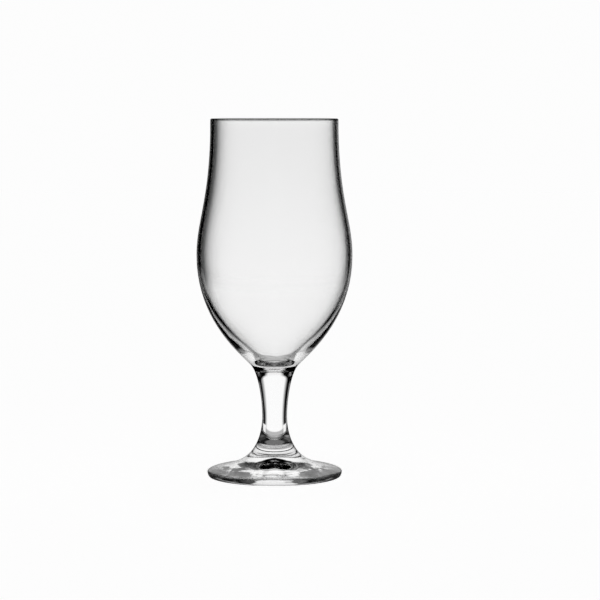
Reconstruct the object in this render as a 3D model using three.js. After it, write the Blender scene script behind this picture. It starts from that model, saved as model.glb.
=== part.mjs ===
// A stemmed beer goblet of clear glass: a thin bowl, a solid stem and a pressed foot, fused
// to each other at two flat seams. Millimetres, +Z up. The origin is the centre of the ring
// that the foot stands on.
import * as THREE from "three";

// Heights, stacked from the table up.
const FOOT_HEIGHT = 15;
const STEM_LENGTH = 41.25;
const BOWL_HEIGHT = 123.75;

// The bowl. The belly is its widest ring. The wall thickens towards the bottom, where the
// inside turns at the floor's edge into a small dished floor.
const RIM_RADIUS = 32;
const BELLY_RADIUS = 39.1;
const BELLY_ABOVE_SEAM = 55.25;
const RIM_WALL = 1.5;
const BELLY_WALL = 1.6;
const FLOOR_RADIUS = 11.3;
const FLOOR_EDGE_ABOVE_SEAM = 6.05;
const BASE_THICKNESS = 1.75;

// The stem, which flares at both ends.
const BOWL_SEAM_RADIUS = 11.9;
const WAIST_RADIUS = 6.25;
const WAIST_ABOVE_SEAM = 15.5;
const FOOT_SEAM_RADIUS = 10;

// The foot: a low cone that runs out to a thin rounded edge. It is hollow underneath, and
// the hollow rises to a kick, a low cone pressed up in the middle.
const FOOT_RADIUS = 34;
const FOOT_RIM_WIDTH = 8.6;
const FOOT_RIM_THICKNESS = 5.15;
const FOOT_EDGE_HEIGHT = 2.4;
const FOOT_EDGE_ROUNDING = 1.2;
const STANDING_RING_WIDTH = 3.5;
const HOLLOW_HEIGHT = 5.75;
const KICK_RADIUS = 20;
const KICK_EDGE_HEIGHT = 1;

// Slopes of the outline where two stretches meet, in degrees below the horizontal.
const FLOOR_EDGE_SLOPE = 40;
const BOWL_SEAM_SLOPE = 49.5;
const FOOT_SEAM_SLOPE = 60;
const FOOT_RIM_SLOPE = 13;
const KICK_EDGE_SLOPE = 14;

// A stretch's two pulls say how long the outline keeps the direction of its start and of its
// end, as shares of the straight way between them.
const NECK_PULLS = [0.58, 0.27];
const OUTER_CUP_PULLS = [0.54, 0.1];
const INNER_CUP_PULLS = [0.53, 0.14];
const FLOOR_PULLS = [0.45, 0.5];
const STEM_NECK_PULLS = [0.23, 0.27];
const STEM_FLARE_PULLS = [0.48, 0.21];
const FOOT_CONE_PULLS = [0.19, 0.58];
const FOOT_RIM_TOP_PULLS = [0.43, 0.135];
const FOOT_RIM_BOTTOM_PULLS = [0.51, 0.23];
const KICK_PULLS = [0.07, 0.6];
const HOLLOW_PULLS = [0.3, 0.3];

// Facets round the axis, and steps along the outline.
const FACETS_ROUND = 64;
const LONG_STEPS = 13;
const SHORT_STEPS = 9;
const EDGE_STEPS = 4;

const DOWN = new THREE.Vector2(0, -1);
const INWARDS = new THREE.Vector2(-1, 0);
const OUTWARDS = new THREE.Vector2(1, 0);

// The direction of an outline that comes down at an angle: towards the axis on the bowl,
// and away from it on the foot.
function inwardsAt(slopeDegrees) {
  const slope = THREE.MathUtils.degToRad(slopeDegrees);
  return new THREE.Vector2(-Math.cos(slope), -Math.sin(slope));
}

function outwardsAt(slopeDegrees) {
  const slope = THREE.MathUtils.degToRad(slopeDegrees);
  return new THREE.Vector2(Math.cos(slope), -Math.sin(slope));
}

// A smooth stretch of outline from one ring to another.
function stretch(start, leaving, end, arriving, pulls, steps) {
  const [leavingPull, arrivingPull] = pulls;
  const way = start.distanceTo(end);
  const curve = new THREE.CubicBezierCurve(
    start,
    start.clone().addScaledVector(leaving, leavingPull * way),
    end.clone().addScaledVector(arriving, -arrivingPull * way),
    end,
  );
  return curve.getPoints(steps);
}

// Joins stretches that each start where the last one ends.
function outline(...stretches) {
  return stretches.flatMap((points, index) => (index === 0 ? points : points.slice(1)));
}

// Turns an outline of radius and height round the +Z axis. The outline runs up the outside,
// so its faces point outwards.
function turned(points) {
  const solid = new THREE.LatheGeometry(points, FACETS_ROUND);
  return solid.rotateX(Math.PI / 2);
}

function glassPiece(name, points, tint) {
  const material = new THREE.MeshStandardMaterial({
    color: tint,
    roughness: 0.05,
    metalness: 0,
    transparent: true,
    opacity: 0.35,
  });
  const piece = new THREE.Mesh(turned(points), material);
  piece.name = name;
  return piece;
}

// The bowl, with its seam at height zero. The outside comes down from the rim over the belly
// to the seam, and the inside goes back up from a rounded floor.
function bowl() {
  const lipRadius = RIM_WALL / 2;
  const lipHeight = BOWL_HEIGHT - lipRadius;
  const seamCentre = new THREE.Vector2(0, 0);
  const seamEdge = new THREE.Vector2(BOWL_SEAM_RADIUS, 0);
  const outerBelly = new THREE.Vector2(BELLY_RADIUS, BELLY_ABOVE_SEAM);
  const outerRim = new THREE.Vector2(RIM_RADIUS, lipHeight);
  const innerRim = new THREE.Vector2(RIM_RADIUS - RIM_WALL, lipHeight);
  const innerBelly = new THREE.Vector2(BELLY_RADIUS - BELLY_WALL, BELLY_ABOVE_SEAM);
  const floorEdge = new THREE.Vector2(FLOOR_RADIUS, FLOOR_EDGE_ABOVE_SEAM);
  const floorCentre = new THREE.Vector2(0, BASE_THICKNESS);

  const outerNeck = stretch(outerRim, DOWN, outerBelly, DOWN, NECK_PULLS, LONG_STEPS);
  const outerCup = stretch(
    outerBelly, DOWN, seamEdge, inwardsAt(BOWL_SEAM_SLOPE), OUTER_CUP_PULLS, LONG_STEPS,
  );
  const innerNeck = stretch(innerRim, DOWN, innerBelly, DOWN, NECK_PULLS, LONG_STEPS);
  const innerCup = stretch(
    innerBelly, DOWN, floorEdge, inwardsAt(FLOOR_EDGE_SLOPE), INNER_CUP_PULLS, LONG_STEPS,
  );
  const floor = stretch(
    floorEdge, inwardsAt(FLOOR_EDGE_SLOPE), floorCentre, INWARDS, FLOOR_PULLS, EDGE_STEPS,
  );
  const lip = new THREE.EllipseCurve(
    RIM_RADIUS - lipRadius, lipHeight, lipRadius, lipRadius, 0, Math.PI,
  ).getPoints(EDGE_STEPS);

  return outline(
    [seamCentre, seamEdge],
    outerCup.reverse(),
    outerNeck.reverse(),
    lip,
    innerNeck,
    innerCup,
    floor,
  );
}

// The stem, with the foot's seam at height zero.
function stem() {
  const footSeamCentre = new THREE.Vector2(0, 0);
  const footSeamEdge = new THREE.Vector2(FOOT_SEAM_RADIUS, 0);
  const waist = new THREE.Vector2(WAIST_RADIUS, WAIST_ABOVE_SEAM);
  const bowlSeamEdge = new THREE.Vector2(BOWL_SEAM_RADIUS, STEM_LENGTH);
  const bowlSeamCentre = new THREE.Vector2(0, STEM_LENGTH);

  const neck = stretch(
    bowlSeamEdge, inwardsAt(BOWL_SEAM_SLOPE), waist, DOWN, STEM_NECK_PULLS, SHORT_STEPS,
  );
  const flare = stretch(
    waist, DOWN, footSeamEdge, outwardsAt(FOOT_SEAM_SLOPE), STEM_FLARE_PULLS, SHORT_STEPS,
  );

  return outline(
    [footSeamCentre, footSeamEdge],
    flare.reverse(),
    neck.reverse(),
    [bowlSeamEdge, bowlSeamCentre],
  );
}

// The foot, standing on a flat ring at height zero.
function foot() {
  const edgeBottomRadius = FOOT_RADIUS - FOOT_EDGE_ROUNDING;
  const kickTop = new THREE.Vector2(0, HOLLOW_HEIGHT);
  const kickEdge = new THREE.Vector2(KICK_RADIUS, KICK_EDGE_HEIGHT);
  const ringInside = new THREE.Vector2(edgeBottomRadius - STANDING_RING_WIDTH, 0);
  const ringOutside = new THREE.Vector2(edgeBottomRadius, 0);
  const edge = new THREE.Vector2(FOOT_RADIUS, FOOT_EDGE_HEIGHT);
  const rimStart = new THREE.Vector2(FOOT_RADIUS - FOOT_RIM_WIDTH, FOOT_RIM_THICKNESS);
  const seamEdge = new THREE.Vector2(FOOT_SEAM_RADIUS, FOOT_HEIGHT);
  const seamCentre = new THREE.Vector2(0, FOOT_HEIGHT);

  const cone = stretch(
    seamEdge, outwardsAt(FOOT_SEAM_SLOPE),
    rimStart, outwardsAt(FOOT_RIM_SLOPE), FOOT_CONE_PULLS, SHORT_STEPS,
  );
  const rimTop = stretch(
    rimStart, outwardsAt(FOOT_RIM_SLOPE), edge, DOWN, FOOT_RIM_TOP_PULLS, EDGE_STEPS,
  );
  const rimBottom = stretch(
    edge, DOWN, ringOutside, INWARDS, FOOT_RIM_BOTTOM_PULLS, EDGE_STEPS,
  );
  const kick = stretch(
    kickTop, OUTWARDS, kickEdge, outwardsAt(KICK_EDGE_SLOPE), KICK_PULLS, SHORT_STEPS,
  );
  const hollow = stretch(
    kickEdge, outwardsAt(KICK_EDGE_SLOPE), ringInside, OUTWARDS, HOLLOW_PULLS, EDGE_STEPS,
  );

  return outline(
    kick,
    hollow,
    [ringInside, ringOutside],
    rimBottom.reverse(),
    rimTop.reverse(),
    cone.reverse(),
    [seamEdge, seamCentre],
  );
}

const goblet = new THREE.Group();

const footPiece = glassPiece("foot", foot(), 0xf2f5f5);
goblet.add(footPiece);

const stemPiece = glassPiece("stem", stem(), 0xf4f6f6);
stemPiece.position.z = FOOT_HEIGHT;
goblet.add(stemPiece);

const bowlPiece = glassPiece("bowl", bowl(), 0xf6f8f8);
bowlPiece.position.z = FOOT_HEIGHT + STEM_LENGTH;
goblet.add(bowlPiece);

export default goblet;
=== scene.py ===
import math

import bpy
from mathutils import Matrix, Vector


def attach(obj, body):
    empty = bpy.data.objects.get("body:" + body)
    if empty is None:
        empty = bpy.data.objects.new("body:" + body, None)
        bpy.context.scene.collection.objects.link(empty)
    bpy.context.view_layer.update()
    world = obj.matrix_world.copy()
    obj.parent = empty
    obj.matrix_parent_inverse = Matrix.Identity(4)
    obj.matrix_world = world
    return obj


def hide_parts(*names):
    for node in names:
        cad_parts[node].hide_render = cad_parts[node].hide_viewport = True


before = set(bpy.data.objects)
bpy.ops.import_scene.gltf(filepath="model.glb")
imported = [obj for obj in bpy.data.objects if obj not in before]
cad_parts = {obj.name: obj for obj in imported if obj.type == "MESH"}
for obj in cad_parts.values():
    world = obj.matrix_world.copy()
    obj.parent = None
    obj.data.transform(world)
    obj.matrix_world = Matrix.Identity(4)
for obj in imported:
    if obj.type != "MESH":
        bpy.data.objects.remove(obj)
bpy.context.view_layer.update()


# The foot: a disc of clear glass, pressed while hot, with a low cone on top that the stem is
# fused to. It stands on a flat ring, ground a little dull by use. The hollow inside the ring
# rises to a kick in the middle, which shows through the cone as a dark cap.
FOOT_SEAM_RADIUS = 0.010
FOOT_SEAM_HEIGHT = 0.015
FOOT_SEAM_SLOPE = 60
FOOT_RIM_START_RADIUS = 0.0254
FOOT_RIM_START_HEIGHT = 0.00515
FOOT_RIM_SLOPE = 13
FOOT_RADIUS = 0.034
FOOT_EDGE_HEIGHT = 0.0024
RING_OUTER_RADIUS = 0.0328
RING_INNER_RADIUS = 0.0293
KICK_EDGE_RADIUS = 0.020
KICK_EDGE_HEIGHT = 0.001
KICK_EDGE_SLOPE = 14
KICK_HEIGHT = 0.00575
# A stretch's two pulls say how long the outline keeps the direction of its start and of its
# end, as shares of the straight way between them.
FOOT_CONE_PULLS = (0.19, 0.58)
FOOT_RIM_TOP_PULLS = (0.43, 0.135)
FOOT_RIM_BOTTOM_PULLS = (0.51, 0.23)
HOLLOW_PULLS = (0.3, 0.3)
KICK_PULLS = (0.6, 0.07)

STEPS_ROUND = 256
STEPS_ALONG = 20
MERGE_WITHIN = 0.000002
SHARP_EDGE_ANGLE = 30

GLASS_IOR = 1.52
SHADOW_LET_THROUGH = (0.9, 0.9, 0.9, 1)
RIPPLE_DETAIL = 1.5
SCUFF_SIZE = 0.0015
STANDING_RING_DULLNESS = 0.3


def downhill(slope):
    """The direction out from the axis and down, at a slope in degrees below the level."""
    return Vector((math.cos(math.radians(slope)), 0, -math.sin(math.radians(slope))))


def downhill_inwards(slope):
    """The direction in to the axis and down, at a slope in degrees below the level."""
    return Vector((-math.cos(math.radians(slope)), 0, -math.sin(math.radians(slope))))


def ring(radius, height):
    """The point of an outline that turns into a ring of this radius and height."""
    return Vector((radius, 0, height))


def stretch(start, leaving, end, arriving, pulls):
    """A curved stretch of outline. It leaves its start and arrives at its end in these
    directions."""
    leaving_pull, arriving_pull = pulls
    way = (end - start).length
    return start, start + leaving * leaving_pull * way, end - arriving * arriving_pull * way, end


def straight(start, end):
    """A straight stretch of outline."""
    return start, start.lerp(end, 1 / 3), start.lerp(end, 2 / 3), end


def turned_glass(name, outline):
    """Draws the outline as one Bezier curve, spins it round the Z axis, and closes it."""
    bpy.ops.object.select_all(action="DESELECT")
    bpy.ops.curve.primitive_bezier_curve_add(location=(0, 0, 0))
    piece = bpy.context.object
    piece.name = name
    piece.data.resolution_u = STEPS_ALONG
    spline = piece.data.splines[0]
    spline.bezier_points.add(len(outline) - 1)
    for knot in spline.bezier_points:
        knot.handle_left_type = "FREE"
        knot.handle_right_type = "FREE"
    for number, (start, start_handle, end_handle, end) in enumerate(outline):
        knot, next_knot = spline.bezier_points[number:number + 2]
        knot.co = start
        knot.handle_right = start_handle
        next_knot.handle_left = end_handle
        next_knot.co = end
    first, last = spline.bezier_points[0], spline.bezier_points[-1]
    first.handle_left = first.co
    last.handle_right = last.co
    bpy.ops.object.convert(target="MESH")
    bpy.ops.object.mode_set(mode="EDIT")
    bpy.ops.mesh.select_all(action="SELECT")
    bpy.ops.mesh.spin(
        steps=STEPS_ROUND, angle=math.tau, center=(0, 0, 0), axis=(0, 0, 1),
    )
    bpy.ops.mesh.select_all(action="SELECT")
    bpy.ops.mesh.remove_doubles(threshold=MERGE_WITHIN)
    bpy.ops.mesh.normals_make_consistent(inside=False)
    bpy.ops.object.mode_set(mode="OBJECT")
    bpy.ops.object.shade_smooth_by_angle(angle=math.radians(SHARP_EDGE_ANGLE))
    return piece


def number_node(operation, *values):
    """One step of arithmetic in the material or world whose nodes are being made."""
    step = nodes.new("ShaderNodeMath")
    step.operation = operation
    for socket, value in zip(step.inputs, values):
        if isinstance(value, (int, float)):
            socket.default_value = value
        else:
            links.new(value, socket)
    return step.outputs["Value"]


def along(value, stops):
    """A number that follows another, from (value, number) stops joined by straight ramps."""
    lowest, highest = stops[0][0], stops[-1][0]
    share = nodes.new("ShaderNodeMapRange")
    share.inputs["From Min"].default_value = lowest
    share.inputs["From Max"].default_value = highest
    links.new(value, share.inputs["Value"])
    ramp = nodes.new("ShaderNodeValToRGB")
    links.new(share.outputs["Result"], ramp.inputs["Fac"])
    elements = ramp.color_ramp.elements
    while len(elements) < len(stops):
        elements.new(0.5)
    for element, (place, number) in zip(elements, stops):
        element.position = (place - lowest) / (highest - lowest)
        element.color = (number, number, number, 1)
    return ramp.outputs["Color"]


def clear_glass(name, painted_edge_shade, painted_shade_by_height, dullness_by_height, ripple,
                ripple_by_height):
    """Clear, colourless glass with a faint ripple from its making: how wide it is across, how
    long along the axis, and how deep. Its colour is painted darker where it is seen edge on.
    This painted shade stands in for the dark surroundings that glass shows at its edges. The
    painted edge shade runs from facing the eye, at 0, to edge on, at 1. The painted shade by
    height darkens the glass at given heights. A lamp shines straight through the glass, so its
    shadow stays pale."""
    global nodes, links
    ripple_across, ripple_along, ripple_depth = ripple
    material = bpy.data.materials.new(name)
    material.use_nodes = True
    nodes, links = material.node_tree.nodes, material.node_tree.links
    nodes.clear()
    glass = nodes.new("ShaderNodeBsdfGlass")
    glass.inputs["IOR"].default_value = GLASS_IOR
    place = nodes.new("ShaderNodeTexCoord")
    parts = nodes.new("ShaderNodeSeparateXYZ")
    links.new(place.outputs["Object"], parts.inputs["Vector"])
    facing = nodes.new("ShaderNodeLayerWeight")
    # Painted shade: the glass colour is darkened where it is seen edge on, and at set heights.
    clear = number_node(
        "MULTIPLY",
        along(facing.outputs["Facing"], painted_edge_shade),
        along(parts.outputs["Z"], painted_shade_by_height),
    )
    links.new(clear, glass.inputs["Color"])
    stretched = nodes.new("ShaderNodeMapping")
    stretched.inputs["Scale"].default_value = (
        1 / ripple_across, 1 / ripple_across, 1 / ripple_along,
    )
    waves = nodes.new("ShaderNodeTexNoise")
    waves.inputs["Scale"].default_value = 1
    waves.inputs["Detail"].default_value = RIPPLE_DETAIL
    bump = nodes.new("ShaderNodeBump")
    bump.inputs["Distance"].default_value = ripple_depth
    links.new(place.outputs["Object"], stretched.inputs["Vector"])
    links.new(stretched.outputs["Vector"], waves.inputs["Vector"])
    links.new(waves.outputs["Fac"], bump.inputs["Height"])
    links.new(along(parts.outputs["Z"], ripple_by_height), bump.inputs["Strength"])
    links.new(bump.outputs["Normal"], glass.inputs["Normal"])
    scuffs = nodes.new("ShaderNodeTexNoise")
    scuffs.inputs["Scale"].default_value = 1 / SCUFF_SIZE
    links.new(place.outputs["Object"], scuffs.inputs["Vector"])
    dull = number_node(
        "MULTIPLY", along(parts.outputs["Z"], dullness_by_height), scuffs.outputs["Fac"],
    )
    links.new(dull, glass.inputs["Roughness"])
    light_path = nodes.new("ShaderNodeLightPath")
    shadow = nodes.new("ShaderNodeBsdfTransparent")
    shadow.inputs["Color"].default_value = SHADOW_LET_THROUGH
    either = nodes.new("ShaderNodeMixShader")
    links.new(light_path.outputs["Is Shadow Ray"], either.inputs["Fac"])
    links.new(glass.outputs["BSDF"], either.inputs[1])
    links.new(shadow.outputs["BSDF"], either.inputs[2])
    output = nodes.new("ShaderNodeOutputMaterial")
    links.new(either.outputs["Shader"], output.inputs["Surface"])
    return material


# Where two pieces are fused, their glass is one, and nothing shows at the seam.
fused = bpy.data.materials.new("fused_seam")
fused.use_nodes = True
fused.node_tree.nodes.clear()
fused_output = fused.node_tree.nodes.new("ShaderNodeOutputMaterial")
fused_glass = fused.node_tree.nodes.new("ShaderNodeBsdfTransparent")
fused.node_tree.links.new(fused_glass.outputs["BSDF"], fused_output.inputs["Surface"])


SAME_HEIGHT = 0.000001
LEVEL_NORMAL = 0.99


def finish_glass(piece, material, seam_heights):
    """Gives the piece its glass, and the fused seam to its flat faces at these heights."""
    piece.data.materials.append(material)
    piece.data.materials.append(fused)
    for face in piece.data.polygons:
        at_seam = any(abs(face.center.z - height) < SAME_HEIGHT for height in seam_heights)
        if at_seam and abs(face.normal.z) > LEVEL_NORMAL:
            face.material_index = 1


foot_seam_edge = ring(FOOT_SEAM_RADIUS, FOOT_SEAM_HEIGHT)
foot_rim_start = ring(FOOT_RIM_START_RADIUS, FOOT_RIM_START_HEIGHT)
foot_edge = ring(FOOT_RADIUS, FOOT_EDGE_HEIGHT)
ring_outside = ring(RING_OUTER_RADIUS, 0)
ring_inside = ring(RING_INNER_RADIUS, 0)
kick_edge = ring(KICK_EDGE_RADIUS, KICK_EDGE_HEIGHT)
foot = turned_glass("pressed_foot", [
    straight(ring(0, FOOT_SEAM_HEIGHT), foot_seam_edge),
    stretch(foot_seam_edge, downhill(FOOT_SEAM_SLOPE),
            foot_rim_start, downhill(FOOT_RIM_SLOPE), FOOT_CONE_PULLS),
    stretch(foot_rim_start, downhill(FOOT_RIM_SLOPE), foot_edge, downhill(90),
            FOOT_RIM_TOP_PULLS),
    stretch(foot_edge, downhill(90), ring_outside, downhill_inwards(0), FOOT_RIM_BOTTOM_PULLS),
    straight(ring_outside, ring_inside),
    stretch(ring_inside, -downhill(0), kick_edge, -downhill(KICK_EDGE_SLOPE), HOLLOW_PULLS),
    stretch(kick_edge, -downhill(KICK_EDGE_SLOPE), ring(0, KICK_HEIGHT), -downhill(0),
            KICK_PULLS),
])
foot_glass = clear_glass(
    "foot_glass",
    # The foot's glass is painted darker where it is seen edge on: painted shade.
    painted_edge_shade=[(0, 1), (0.6, 1), (0.8, 0.75), (1, 0.3)],
    painted_shade_by_height=[(0, 1), (FOOT_SEAM_HEIGHT, 1)],
    dullness_by_height=[
        (0, STANDING_RING_DULLNESS), (0.0001, STANDING_RING_DULLNESS), (0.0003, 0),
        (FOOT_SEAM_HEIGHT, 0),
    ],
    ripple=(0.007, 0.007, 0.0002),
    ripple_by_height=[(0, 1), (0.008, 1), (0.0125, 0.2), (FOOT_SEAM_HEIGHT, 0.1)],
)
finish_glass(foot, foot_glass, [FOOT_SEAM_HEIGHT])
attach(foot, "root")
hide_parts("foot")


# The stem: a solid rod of clear glass, drawn to a waist while hot. It flares at both ends,
# where it is fused to the foot and to the bowl.
WAIST_RADIUS = 0.00625
WAIST_HEIGHT = 0.0305
BOWL_SEAM_RADIUS = 0.0119
BOWL_SEAM_HEIGHT = 0.05625
BOWL_SEAM_SLOPE = 49.5
STEM_NECK_PULLS = (0.23, 0.27)
STEM_FLARE_PULLS = (0.48, 0.21)

bowl_seam_edge = ring(BOWL_SEAM_RADIUS, BOWL_SEAM_HEIGHT)
waist = ring(WAIST_RADIUS, WAIST_HEIGHT)
stem = turned_glass("drawn_stem", [
    straight(ring(0, BOWL_SEAM_HEIGHT), bowl_seam_edge),
    stretch(bowl_seam_edge, downhill_inwards(BOWL_SEAM_SLOPE), waist, downhill(90),
            STEM_NECK_PULLS),
    stretch(waist, downhill(90), foot_seam_edge, downhill(FOOT_SEAM_SLOPE), STEM_FLARE_PULLS),
    straight(foot_seam_edge, ring(0, FOOT_SEAM_HEIGHT)),
])
stem_glass = clear_glass(
    "stem_glass",
    # The stem's glass is painted darker where it is seen edge on: painted shade.
    painted_edge_shade=[(0, 1), (0.5, 1), (0.66, 0.75), (0.75, 0.3), (1, 0.05)],
    painted_shade_by_height=[(FOOT_SEAM_HEIGHT, 1), (BOWL_SEAM_HEIGHT, 1)],
    dullness_by_height=[(FOOT_SEAM_HEIGHT, 0), (BOWL_SEAM_HEIGHT, 0)],
    ripple=(0.02, 0.04, 0.00002),
    ripple_by_height=[(FOOT_SEAM_HEIGHT, 1), (BOWL_SEAM_HEIGHT, 1)],
)
finish_glass(stem, stem_glass, [FOOT_SEAM_HEIGHT, BOWL_SEAM_HEIGHT])
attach(stem, "root")
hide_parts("stem")


# The bowl: clear glass blown thin, with a straight mouth above a low belly. The rim is melted
# round. The wall thickens towards the bottom, where the inside turns into a small dished
# floor, and it is fused to the top of the stem.
RIM_RADIUS = 0.032
RIM_WALL = 0.0015
RIM_HEIGHT = 0.180
BELLY_RADIUS = 0.0391
BELLY_WALL = 0.0016
BELLY_HEIGHT = 0.1115
CUP_FLOOR_RADIUS = 0.0113
CUP_FLOOR_EDGE_HEIGHT = 0.0623
CUP_FLOOR_EDGE_SLOPE = 40
CUP_FLOOR_HEIGHT = 0.058
OUTER_CUP_PULLS = (0.1, 0.54)
OUTER_NECK_PULLS = (0.27, 0.58)
INNER_NECK_PULLS = (0.58, 0.27)
INNER_CUP_PULLS = (0.53, 0.14)
CUP_FLOOR_PULLS = (0.45, 0.5)
# These pulls make a stretch a quarter circle.
QUARTER_PULLS = (0.39053, 0.39053)
# The melted rim is painted darker from here to here below its top. This painted shade stands
# in for the dark line that its round top shows. The rim also wears a little dull.
RIM_SHADE_START = 0.0012
RIM_SHADE_FULL = 0.0006
RIM_PAINTED_SHADE = 0.45
RIM_WEAR_START = 0.001
RIM_DULLNESS = 0.05

lip_radius = RIM_WALL / 2
lip_height = RIM_HEIGHT - lip_radius
outer_belly = ring(BELLY_RADIUS, BELLY_HEIGHT)
outer_lip = ring(RIM_RADIUS, lip_height)
lip_top = ring(RIM_RADIUS - lip_radius, RIM_HEIGHT)
inner_lip = ring(RIM_RADIUS - RIM_WALL, lip_height)
inner_belly = ring(BELLY_RADIUS - BELLY_WALL, BELLY_HEIGHT)
cup_floor_edge = ring(CUP_FLOOR_RADIUS, CUP_FLOOR_EDGE_HEIGHT)
bowl = turned_glass("blown_bowl", [
    straight(ring(0, BOWL_SEAM_HEIGHT), bowl_seam_edge),
    stretch(bowl_seam_edge, -downhill_inwards(BOWL_SEAM_SLOPE), outer_belly, -downhill(90),
            OUTER_CUP_PULLS),
    stretch(outer_belly, -downhill(90), outer_lip, -downhill(90), OUTER_NECK_PULLS),
    stretch(outer_lip, -downhill(90), lip_top, -downhill(0), QUARTER_PULLS),
    stretch(lip_top, -downhill(0), inner_lip, downhill(90), QUARTER_PULLS),
    stretch(inner_lip, downhill(90), inner_belly, downhill(90), INNER_NECK_PULLS),
    stretch(inner_belly, downhill(90), cup_floor_edge, downhill_inwards(CUP_FLOOR_EDGE_SLOPE),
            INNER_CUP_PULLS),
    stretch(cup_floor_edge, downhill_inwards(CUP_FLOOR_EDGE_SLOPE),
            ring(0, CUP_FLOOR_HEIGHT), downhill_inwards(0), CUP_FLOOR_PULLS),
])
bowl_glass = clear_glass(
    "bowl_glass",
    # The bowl's glass is painted darker where it is seen edge on: painted shade.
    painted_edge_shade=[(0, 1), (0.5, 1), (0.75, 0.75), (1, 0.12)],
    # Painted shade: the glass is darkened just below the rim's top.
    painted_shade_by_height=[
        (BOWL_SEAM_HEIGHT, 1), (RIM_HEIGHT - RIM_SHADE_START, 1),
        (RIM_HEIGHT - RIM_SHADE_FULL, RIM_PAINTED_SHADE), (RIM_HEIGHT, RIM_PAINTED_SHADE),
    ],
    dullness_by_height=[
        (BOWL_SEAM_HEIGHT, 0), (RIM_HEIGHT - RIM_WEAR_START, 0), (RIM_HEIGHT, RIM_DULLNESS),
    ],
    ripple=(0.016, 0.016, 0.00012),
    ripple_by_height=[
        (BOWL_SEAM_HEIGHT, 0.3), (0.065, 1), (0.08, 0.6), (0.095, 0.15), (RIM_HEIGHT, 0.1),
    ],
)
finish_glass(bowl, bowl_glass, [BOWL_SEAM_HEIGHT])
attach(bowl, "root")
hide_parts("bowl")


# The table: a wide white sheet. It shows plain white with the glass's pale shadow. The glass
# itself looks through it into the studio below, as through a lit table of clear acrylic.
TABLE_RADIUS = 4
TABLE_SIDES = 96
TABLE_PAINT = (0.8, 0.8, 0.8, 1)
TABLE_GLOW = 0.86

bpy.ops.object.select_all(action="DESELECT")
bpy.ops.mesh.primitive_circle_add(
    vertices=TABLE_SIDES, radius=TABLE_RADIUS, fill_type="NGON", location=(0, 0, 0),
)
table = bpy.context.object
table.name = "white_table"
table_white = bpy.data.materials.new("table_white")
table_white.use_nodes = True
nodes, links = table_white.node_tree.nodes, table_white.node_tree.links
nodes.clear()
output = nodes.new("ShaderNodeOutputMaterial")
paint = nodes.new("ShaderNodeBsdfDiffuse")
paint.inputs["Color"].default_value = TABLE_PAINT
glow = nodes.new("ShaderNodeEmission")
glow.inputs["Strength"].default_value = TABLE_GLOW
lit_sheet = nodes.new("ShaderNodeAddShader")
clear_sheet = nodes.new("ShaderNodeBsdfTransparent")
light_path = nodes.new("ShaderNodeLightPath")
through_glass = nodes.new("ShaderNodeMath")
through_glass.operation = "ADD"
through_glass.use_clamp = True
surface = nodes.new("ShaderNodeMixShader")
links.new(light_path.outputs["Is Transmission Ray"], through_glass.inputs[0])
links.new(light_path.outputs["Is Glossy Ray"], through_glass.inputs[1])
links.new(paint.outputs["BSDF"], lit_sheet.inputs[0])
links.new(glow.outputs["Emission"], lit_sheet.inputs[1])
links.new(through_glass.outputs["Value"], surface.inputs["Fac"])
links.new(lit_sheet.outputs["Shader"], surface.inputs[1])
links.new(clear_sheet.outputs["BSDF"], surface.inputs[2])
links.new(surface.outputs["Shader"], output.inputs["Surface"])
table.data.materials.append(table_white)


# The studio: white to look at. What the glass bends and mirrors is a dark room with one white
# wall behind the glass, as in the photograph. The other sides have a white wall of their own,
# which the glass doesn't mirror, so it leaves the front view alone. Angles are in degrees,
# with bearing 0 straight behind the glass and -90 behind it as seen from the right.
PANEL_LIGHT = 1.05
BACKGROUND_WHITE = 0.98
OTHER_SIDES = (-90, 90, 180)
# Between these rises the white wall's shape changes from level to upper, and from level to
# lower.
UPPER_SHAPE_RISES = (1, 6)
LOWER_SHAPE_RISES = (-8, -12)
# The floor's white at each corner: full below the first rise and dark above the second.
CORNERS = {-135: (-8.6, -7.3), -45: (-18.8, -17.2), 45: (-18.8, -17.2), 135: (-8.6, -7.3)}

studio = bpy.data.worlds.new("studio")
bpy.context.scene.world = studio
studio.use_nodes = True
nodes, links = studio.node_tree.nodes, studio.node_tree.links
nodes.clear()


def ease(value, start, end):
    """Rises smoothly from 0 at the start to 1 at the end."""
    step = nodes.new("ShaderNodeMapRange")
    step.interpolation_type = "SMOOTHSTEP"
    step.inputs["From Min"].default_value = start
    step.inputs["From Max"].default_value = end
    links.new(value, step.inputs["Value"])
    return step.outputs["Result"]


def crossfade(share, first, second):
    """The first at share 0, the second at share 1."""
    kept = number_node("MULTIPLY", first, number_node("SUBTRACT", 1, share))
    return number_node("ADD", kept, number_node("MULTIPLY", second, share))


def off_from(bearing_now, bearing):
    """How far a bearing is from another, from -180 to 180."""
    return number_node("WRAP", number_node("SUBTRACT", bearing_now, bearing), 180, -180)


def side_light(off, rise):
    """The white behind the glass on one side: narrow at eye level, and wider above."""
    level = along(off, [
        (-180, 0), (-20, 0), (-15, 0.09), (-12, 0.16), (-10, 0.31), (-9, 0.48), (-8, 0.6),
        (-7, 0.7), (-5.5, 0.88), (-4, 1), (9, 1), (10, 0.88), (12, 0.41), (13, 0.32),
        (20, 0.32), (24, 0), (180, 0),
    ])
    upper = along(off, [(-180, 0), (-24, 0), (-14, 1), (14, 1), (24, 0), (180, 0)])
    lower = along(off, [(-180, 0), (-20, 0), (-12, 1), (12, 1), (20, 0), (180, 0)])
    light = crossfade(ease(rise, *UPPER_SHAPE_RISES), level, upper)
    light = crossfade(ease(rise, *LOWER_SHAPE_RISES), light, lower)
    by_height = along(rise, [
        (-90, 0.1), (-57, 0.12), (-52, 0.2), (-48, 0.45), (-27, 0.5), (-24.5, 1), (-4, 1),
        (-1, 0.92), (40, 0.92), (46, 0), (90, 0),
    ])
    return number_node("MULTIPLY", light, by_height)


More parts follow.
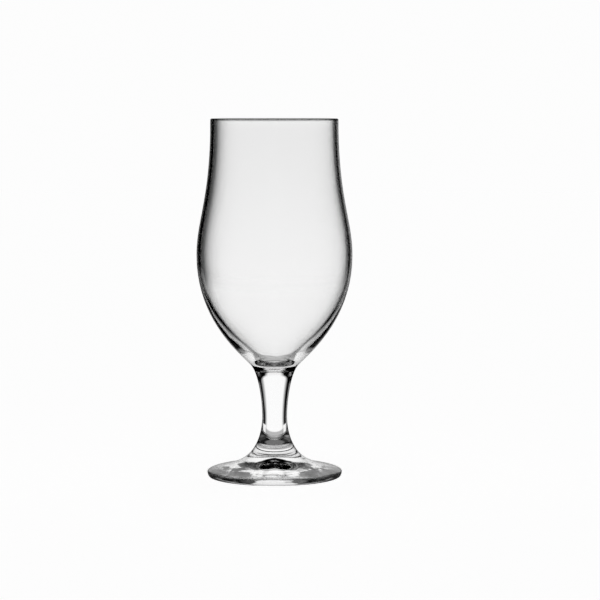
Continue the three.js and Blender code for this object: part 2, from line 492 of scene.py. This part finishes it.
direction = nodes.new("ShaderNodeTexCoord")
parts = nodes.new("ShaderNodeSeparateXYZ")
links.new(direction.outputs["Generated"], parts.inputs["Vector"])
bearing_now = number_node(
    "DEGREES", number_node("ARCTAN2", parts.outputs["X"], parts.outputs["Y"]),
)
rise = number_node("DEGREES", number_node("ARCSINE", parts.outputs["Z"]))
light_path = nodes.new("ShaderNodeLightPath")

light_below = along(rise, [(-90, 0.16), (-65, 0.16), (-58, 0), (90, 0)])
front_view_light = number_node("MAXIMUM", side_light(bearing_now, rise), light_below)

other_light = along(rise, [(-90, 1), (-75, 1), (-70, 0), (90, 0)])
for bearing in OTHER_SIDES:
    side = side_light(off_from(bearing_now, bearing), rise)
    other_light = number_node("MAXIMUM", other_light, side)
for bearing, (full_below, dark_above) in CORNERS.items():
    corner = number_node(
        "MULTIPLY",
        along(off_from(bearing_now, bearing), [
            (-180, 0), (-18, 0), (-10, 1), (10, 1), (18, 0), (180, 0),
        ]),
        along(rise, [(-90, 0), (-50, 0), (-45, 1), (full_below, 1), (dark_above, 0), (90, 0)]),
    )
    other_light = number_node("MAXIMUM", other_light, corner)
unmirrored = number_node("LESS_THAN", light_path.outputs["Glossy Depth"], 0.5)
other_light = number_node("MULTIPLY", other_light, unmirrored)

glass_sees = number_node("MAXIMUM", front_view_light, other_light)
by_glass = number_node(
    "MAXIMUM", light_path.outputs["Is Transmission Ray"], light_path.outputs["Is Glossy Ray"],
)
bright = number_node("MULTIPLY", glass_sees, number_node("MULTIPLY", by_glass, PANEL_LIGHT))
bright = crossfade(light_path.outputs["Is Camera Ray"], bright, BACKGROUND_WHITE)
background = nodes.new("ShaderNodeBackground")
background.inputs["Color"].default_value = (1, 1, 1, 1)
links.new(bright, background.inputs["Strength"])
output = nodes.new("ShaderNodeOutputWorld")
links.new(background.outputs["Background"], output.inputs["Surface"])


# Low white panels close behind the foot and stem, one for each side, seen only through the
# glass. They go on below the clear table, where they are dimmer. The glass mirrors the back
# one in full and the others faintly.
PANEL_DISTANCE = 0.095
PANEL_WIDTH = 0.2
PANEL_TOP = 0.1
PANEL_BOTTOM = -0.2


def panel_white(name, right_edge, reflected, far_edge=0):
    """A panel that glows, and fades out to its sides and its top. Beyond its right edge it
    goes on dimly. A share of it shows as a reflection. The far edge, 1 at its right and -1 at
    its left, has a dim patch that shows only as a reflection."""
    global nodes, links
    material = bpy.data.materials.new(name)
    material.use_nodes = True
    nodes, links = material.node_tree.nodes, material.node_tree.links
    nodes.clear()
    place = nodes.new("ShaderNodeTexCoord")
    parts = nodes.new("ShaderNodeSeparateXYZ")
    links.new(place.outputs["Object"], parts.inputs["Vector"])
    across = number_node("ABSOLUTE", parts.outputs["X"])
    height = parts.outputs["Y"]
    glow = nodes.new("ShaderNodeEmission")
    by_height = along(height, [
        (-0.2, 0.16), (-0.115, 0.12), (-0.09, 0.15), (-0.075, 0.42), (-0.0215, 0.5),
        (-0.0175, 1), (0.1, 1),
    ])
    links.new(number_node("MULTIPLY", by_height, PANEL_LIGHT), glow.inputs["Strength"])
    cover = number_node(
        "MULTIPLY",
        along(across, [(0, 1), (0.042, 1), (0.055, 0.5), (0.065, 0.2), (0.075, 0), (0.1, 0)]),
        along(height, [(-0.2, 1), (0.08, 1), (0.092, 0), (0.1, 0)]),
    )
    dim_edge = number_node(
        "MULTIPLY",
        along(parts.outputs["X"], [
            (0, 0), (0.05, 0), (0.055, right_edge), (0.065, 0.8 * right_edge),
            (0.075, 0.3 * right_edge), (0.085, 0), (0.1, 0),
        ]),
        along(height, [(-0.2, 0), (0.02, 0), (0.035, 1), (0.08, 1), (0.092, 0), (0.1, 0)]),
    )
    cover = number_node("MAXIMUM", cover, dim_edge)
    if reflected < 1:
        light_path = nodes.new("ShaderNodeLightPath")
        mirrored = number_node("GREATER_THAN", light_path.outputs["Glossy Depth"], 0.5)
        low = along(height, [(-0.2, 1), (0.045, 1), (0.075, 0), (0.1, 0)])
        faint = number_node("MULTIPLY", cover, number_node("MULTIPLY", low, reflected))
        if far_edge:
            patch = number_node(
                "MULTIPLY",
                along(number_node("MULTIPLY", parts.outputs["X"], far_edge), [
                    (-0.1, 0), (0.045, 0), (0.055, 0.35), (0.08, 0.35), (0.09, 0), (0.1, 0),
                ]),
                along(height, [(-0.2, 0), (0.05, 0), (0.06, 1), (0.085, 1), (0.095, 0), (0.1, 0)]),
            )
            faint = number_node("MAXIMUM", faint, patch)
        cover = crossfade(mirrored, cover, faint)
    clear = nodes.new("ShaderNodeBsdfTransparent")
    either = nodes.new("ShaderNodeMixShader")
    links.new(cover, either.inputs["Fac"])
    links.new(clear.outputs["BSDF"], either.inputs[1])
    links.new(glow.outputs["Emission"], either.inputs[2])
    output = nodes.new("ShaderNodeOutputMaterial")
    links.new(either.outputs["Shader"], output.inputs["Surface"])
    return material


panel_whites = {
    0: panel_white("back_panel_white", right_edge=0.45, reflected=1),
    -90: panel_white("left_panel_white", right_edge=0, reflected=0.25, far_edge=1),
    90: panel_white("right_panel_white", right_edge=0, reflected=0.1, far_edge=-1),
    180: panel_white("front_panel_white", right_edge=0, reflected=0.1),
}
for bearing, white in panel_whites.items():
    bpy.ops.object.select_all(action="DESELECT")
    bpy.ops.mesh.primitive_plane_add(size=PANEL_WIDTH, location=(0, 0, 0))
    panel = bpy.context.object
    panel.name = f"low_panel_{bearing % 360}"
    bpy.ops.object.mode_set(mode="EDIT")
    bpy.ops.mesh.select_all(action="SELECT")
    bpy.ops.transform.resize(value=(1, (PANEL_TOP - PANEL_BOTTOM) / PANEL_WIDTH, 1))
    bpy.ops.transform.translate(value=(0, (PANEL_TOP + PANEL_BOTTOM) / 2, 0))
    bpy.ops.object.mode_set(mode="OBJECT")
    turn = math.radians(bearing)
    panel.rotation_euler = (math.pi / 2, 0, -turn)
    panel.location = (PANEL_DISTANCE * math.sin(turn), PANEL_DISTANCE * math.cos(turn), 0)
    panel.data.materials.append(white)
    panel.visible_camera = False
    panel.visible_diffuse = False
    panel.visible_glossy = False
    panel.visible_shadow = False


# The light: one large soft lamp overhead. The glass doesn't mirror it.
LAMP_ANGLE = 60
LAMP_STRENGTH = 0.4712

bpy.ops.object.light_add(type="SUN", location=(0, 0, 1), rotation=(0, 0, 0))
lamp = bpy.context.object
lamp.name = "soft_lamp"
lamp.data.angle = math.radians(LAMP_ANGLE)
lamp.data.energy = LAMP_STRENGTH
lamp.visible_glossy = False
lamp.visible_transmission = False


# The camera: a long lens at the photograph's height, a little to the right of the glass.
CAMERA_RIGHT = 0.0128
CAMERA_BACK = 1.13
CAMERA_HEIGHT = 0.184
AIM_HEIGHT = 0.08905
SENSOR_WIDTH = 36
LENS = 135.36
# A ray crosses many faces of glass, and ends black when it has crossed this many.
MOST_BOUNCES = 24

tilt_down = math.atan((CAMERA_HEIGHT - AIM_HEIGHT) / CAMERA_BACK)
bpy.ops.object.camera_add(
    location=(CAMERA_RIGHT, -CAMERA_BACK, CAMERA_HEIGHT),
    rotation=(math.pi / 2 - tilt_down, 0, 0),
)
camera = bpy.context.object
camera.data.sensor_width = SENSOR_WIDTH
camera.data.lens = LENS
bpy.context.scene.camera = camera
bpy.context.scene.view_settings.view_transform = "Standard"
cycles = bpy.context.scene.cycles
cycles.max_bounces = MOST_BOUNCES
cycles.transmission_bounces = MOST_BOUNCES
cycles.glossy_bounces = MOST_BOUNCES
cycles.transparent_max_bounces = MOST_BOUNCES
